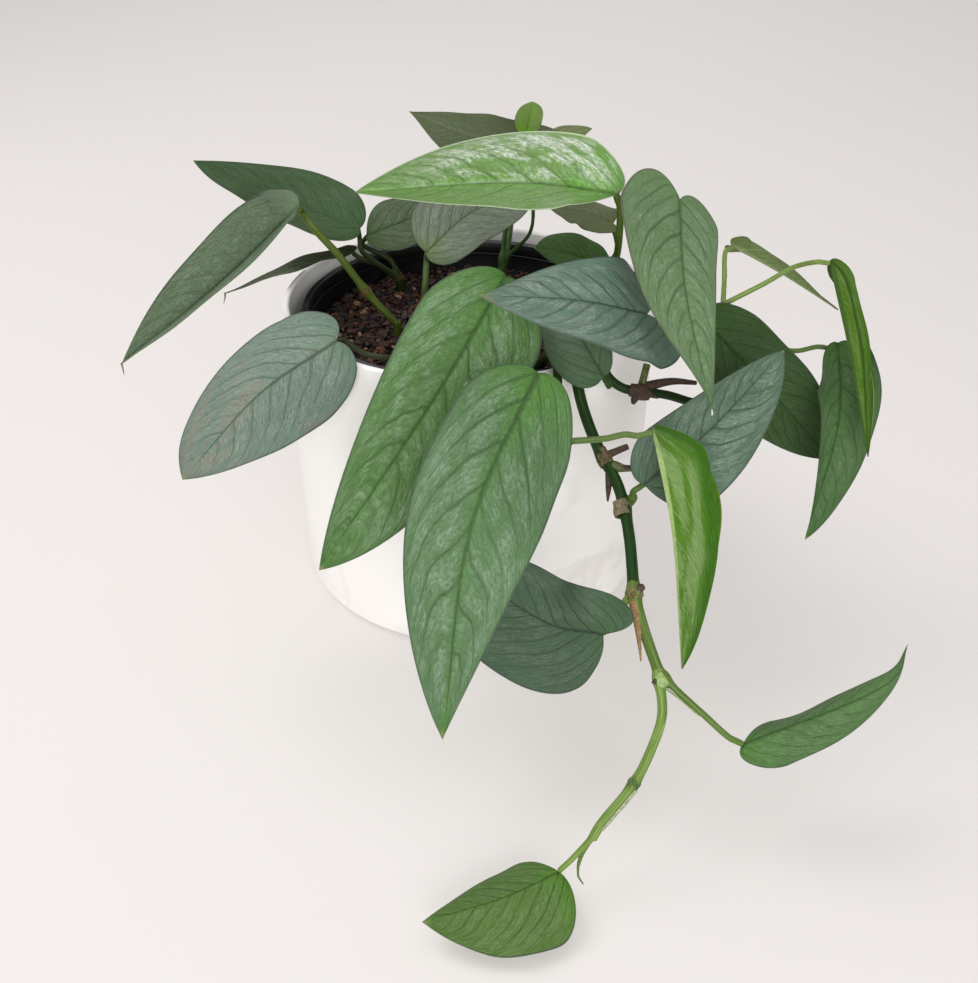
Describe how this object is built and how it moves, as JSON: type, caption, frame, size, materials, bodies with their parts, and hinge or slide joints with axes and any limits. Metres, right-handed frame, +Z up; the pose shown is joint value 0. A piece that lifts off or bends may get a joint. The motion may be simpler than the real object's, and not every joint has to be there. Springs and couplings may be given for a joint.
{
  "type": "potted trailing aroid plant",
  "caption": "Trailing aroid with blue-green, spear-shaped leaves on long vines, rooted in a black nursery pot that stands in a plain white cylindrical cover pot.",
  "frame": {"origin": "middle of the cover pot's flat foot, on the surface that it stands on", "axes": "+Z up; the trailing vine hangs toward -Y and the right-hand vine toward +X"},
  "size_m": [0.3049, 0.3629, 0.2163],
  "materials": {
    "cover_pot": "satin white, faint grey marbling",
    "nursery_pot": "black, satin",
    "potting_mix": "bark and coco chips, damp, matt",
    "left_vine": "fresh green stem, satin",
    "back_left_vine": "fresh green stem, satin",
    "inner_vine": "fresh green stem, satin",
    "back_vine": "fresh green stem, satin",
    "top_vine": "fresh green stem, satin",
    "right_upright_vine": "fresh green stem, satin",
    "over_front_vine": "fresh green stem, satin",
    "trailing_vine": "fresh green stem, satin",
    "right_vine": "fresh green stem, satin",
    "front_vine": "fresh green stem, satin",
    "upper_left_leaf": "leaf, satin with a faint silvery sheen",
    "long_left_leaf": "leaf, satin with a faint silvery sheen",
    "edge_on_left_leaf": "leaf, satin with a faint silvery sheen",
    "low_left_leaf": "leaf, satin with a faint silvery sheen",
    "inner_left_leaf": "leaf, satin with a faint silvery sheen",
    "inner_middle_leaf": "leaf, satin with a faint silvery sheen",
    "back_leaf": "leaf, satin with a faint silvery sheen",
    "new_back_leaf": "leaf, satin with a faint silvery sheen",
    "far_back_leaf": "leaf, satin with a faint silvery sheen",
    "glossy_top_leaf": "fresh leaf, glossy",
    "shaded_right_leaf": "leaf, satin with a faint silvery sheen",
    "small_inner_leaf": "leaf, satin with a faint silvery sheen",
    "upright_right_leaf": "leaf, satin with a faint silvery sheen",
    "across_leaf": "leaf, satin with a faint silvery sheen",
    "round_shaded_leaf": "leaf, satin with a faint silvery sheen",
    "long_front_leaf": "leaf, satin with a faint silvery sheen",
    "big_front_leaf": "leaf, satin with a faint silvery sheen",
    "low_shaded_leaf": "leaf, satin with a faint silvery sheen",
    "new_folded_leaf": "leaf, satin with a faint silvery sheen",
    "blue_right_leaf": "leaf, satin with a faint silvery sheen",
    "dark_right_leaf": "leaf, satin with a faint silvery sheen",
    "edge_on_right_leaf": "leaf, satin with a faint silvery sheen",
    "new_hanging_leaf": "leaf, satin with a faint silvery sheen",
    "far_right_leaf": "leaf, satin with a faint silvery sheen",
    "low_right_leaf": "leaf, satin with a faint silvery sheen",
    "last_leaf": "leaf, satin with a faint silvery sheen"
  },
  "bodies": {
    "root": {"cover_pot": "cover_pot", "nursery_pot": "nursery_pot", "potting_mix": "potting_mix", "left_vine": "left_vine", "back_left_vine": "back_left_vine", "inner_vine": "inner_vine", "back_vine": "back_vine", "top_vine": "top_vine", "right_upright_vine": "right_upright_vine", "over_front_vine": "over_front_vine", "trailing_vine": "trailing_vine", "right_vine": "right_vine", "front_vine": "front_vine", "upper_left_leaf": "upper_left_leaf", "long_left_leaf": "long_left_leaf", "edge_on_left_leaf": "edge_on_left_leaf", "low_left_leaf": "low_left_leaf", "inner_left_leaf": "inner_left_leaf", "inner_middle_leaf": "inner_middle_leaf", "back_leaf": "back_leaf", "new_back_leaf": "new_back_leaf", "far_back_leaf": "far_back_leaf", "glossy_top_leaf": "glossy_top_leaf", "shaded_right_leaf": "shaded_right_leaf", "small_inner_leaf": "small_inner_leaf", "upright_right_leaf": "upright_right_leaf", "across_leaf": "across_leaf", "round_shaded_leaf": "round_shaded_leaf", "long_front_leaf": "long_front_leaf", "big_front_leaf": "big_front_leaf", "low_shaded_leaf": "low_shaded_leaf", "new_folded_leaf": "new_folded_leaf", "blue_right_leaf": "blue_right_leaf", "dark_right_leaf": "dark_right_leaf", "edge_on_right_leaf": "edge_on_right_leaf", "new_hanging_leaf": "new_hanging_leaf", "far_right_leaf": "far_right_leaf", "low_right_leaf": "low_right_leaf", "last_leaf": "last_leaf"}
  },
  "joints": []
}
